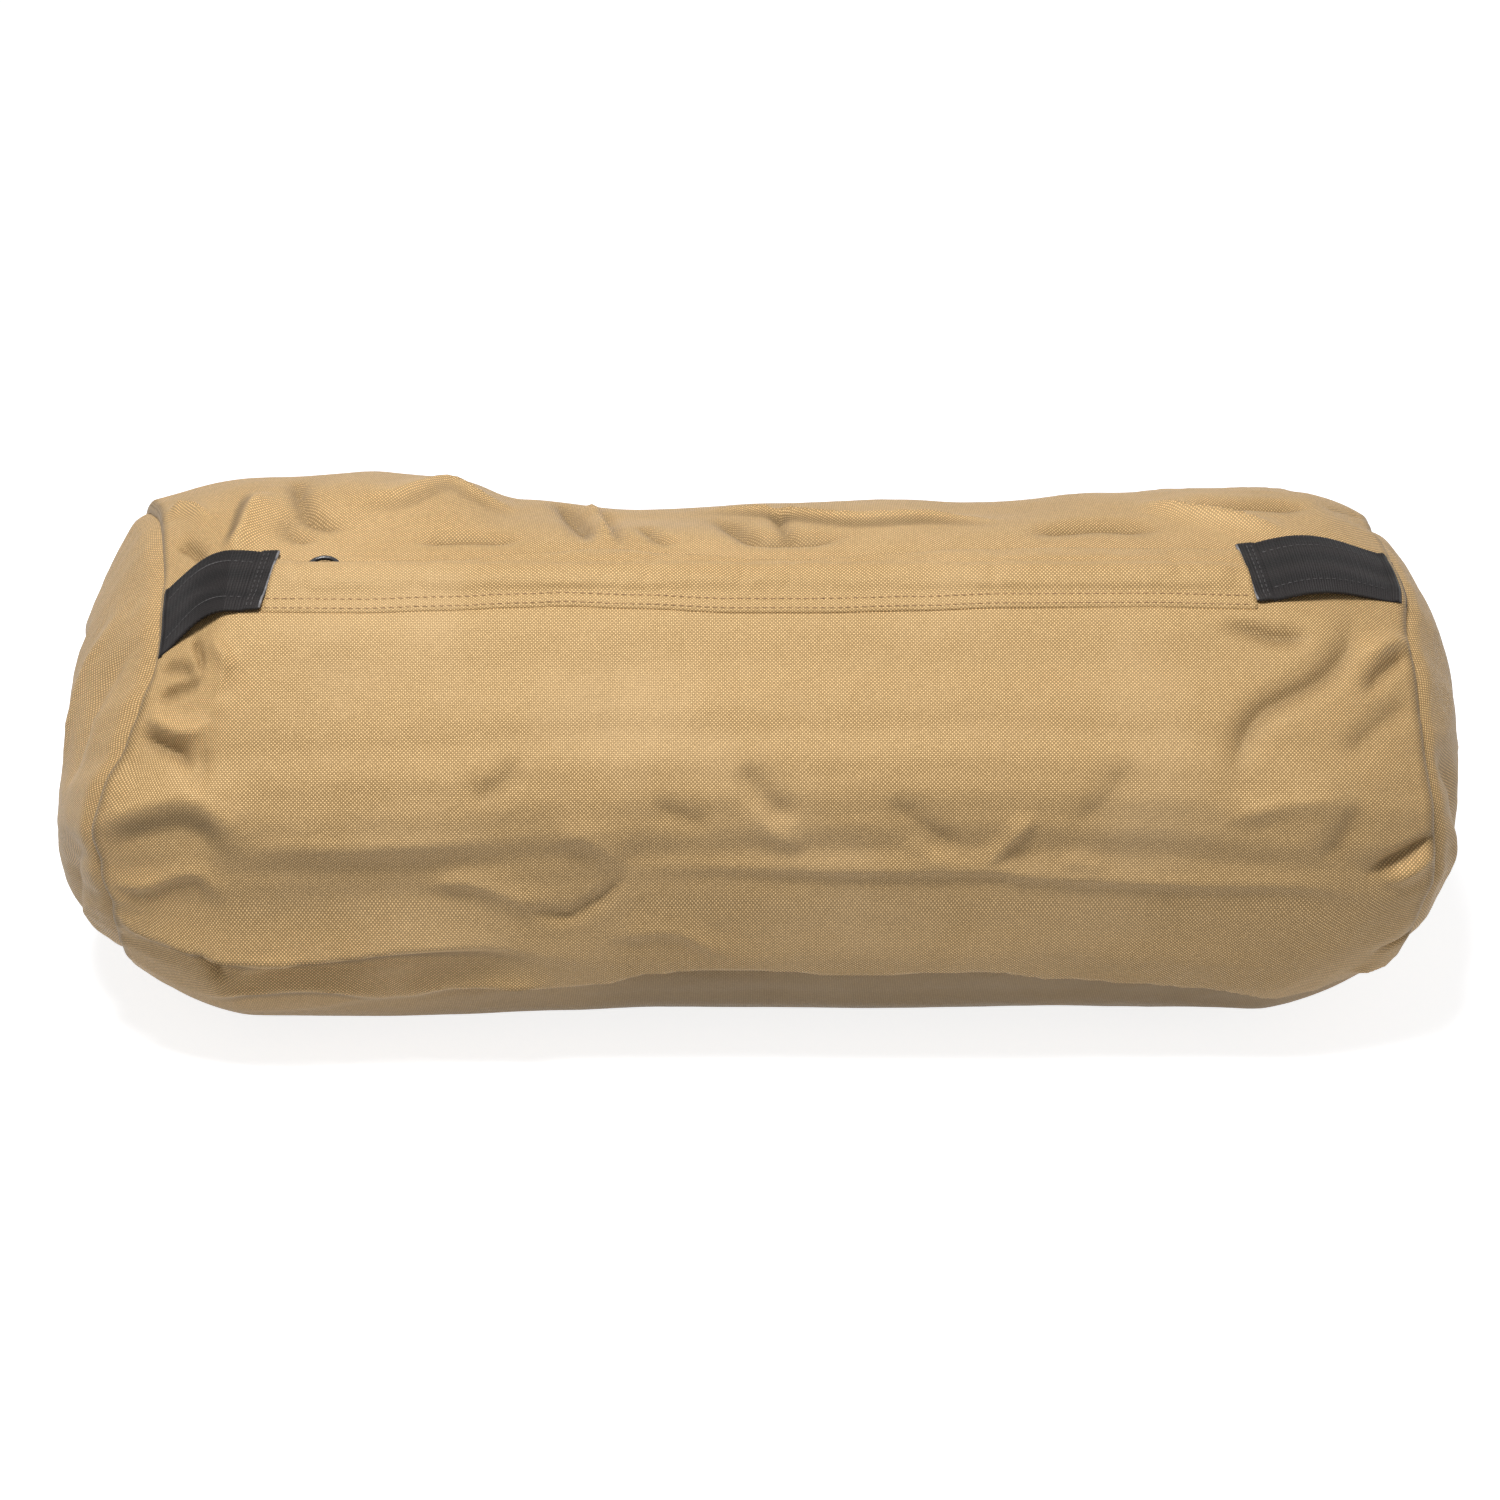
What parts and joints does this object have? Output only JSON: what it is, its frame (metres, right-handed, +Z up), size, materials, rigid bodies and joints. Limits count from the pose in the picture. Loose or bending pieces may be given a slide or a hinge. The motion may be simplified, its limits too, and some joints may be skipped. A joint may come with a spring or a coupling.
{
  "type": "sandbag trainer",
  "caption": "Soft zipped cylinder bag with webbing grab straps at both ends of its zip, a storm flap, and sand fillers inside, for lifting and carrying.",
  "frame": {"origin": "on the floor, under the middle of the bag's length and width", "axes": "+X along the bag, to the right as seen from the zip side; -Y towards the zip side; +Z up"},
  "size_m": [0.752, 0.2918, 0.2754],
  "materials": {
    "bag_fabric": "heavy plain-weave nylon, coyote tan, matt",
    "binding_tape": "woven binding tape",
    "webbing": "black ribbed nylon webbing with a slight sheen",
    "zip_tape": "black woven zip tape",
    "zip_coil": "black nylon coil",
    "zip_metal": "black lacquered metal",
    "pull_loop": "black glossy coated loop",
    "filler_fabric": "black coated liner fabric",
    "closure_strip": "hook and loop tape",
    "sand": "dry sand"
  },
  "bodies": {
    "root": {"bag_shell": "bag_fabric", "end_cap_left": "bag_fabric", "end_cap_right": "bag_fabric", "seam_binding_left": "binding_tape", "seam_binding_right": "binding_tape", "flap_seam": "bag_fabric", "zip_tape_lower": "zip_tape", "zip_tape_upper": "zip_tape", "zip_coil_lower": "zip_coil", "zip_coil_upper": "zip_coil", "zip_stop_left": "zip_metal", "zip_stop_right": "zip_metal", "grab_strap_left": "webbing", "grab_strap_right": "webbing", "filler_pouch_1": "filler_fabric", "filler_sand_1": "sand", "filler_hook_strip_1": "closure_strip", "filler_loop_strip_1": "closure_strip", "filler_pouch_2": "filler_fabric", "filler_sand_2": "sand", "filler_hook_strip_2": "closure_strip", "filler_loop_strip_2": "closure_strip", "filler_pouch_3": "filler_fabric", "filler_sand_3": "sand", "filler_hook_strip_3": "closure_strip", "filler_loop_strip_3": "closure_strip"},
    "zip_slider": {"zip_slider": "zip_metal"},
    "zip_pull": {"zip_pull": "pull_loop"},
    "zip_flap": {"zip_flap": "bag_fabric"}
  },
  "joints": [
    {"name": "zip_slide", "type": "slide", "parent": "root", "child": "zip_slider", "axis": [1, 0, 0], "range_m": [-0.009, 0.449]},
    {"name": "pull_hinge", "type": "hinge", "parent": "zip_slider", "child": "zip_pull", "pos_m": [-0.22, -0.0557, 0.25687], "axis": [1, 0, 0], "range_deg": [0, 150], "deforming": ["zip_flap"]},
    {"name": "flap_hinge", "type": "hinge", "parent": "root", "child": "zip_flap", "pos_m": [0, -0.06781, 0.24999], "axis": [1, 0, 0], "range_deg": [0, 140]}
  ]
}
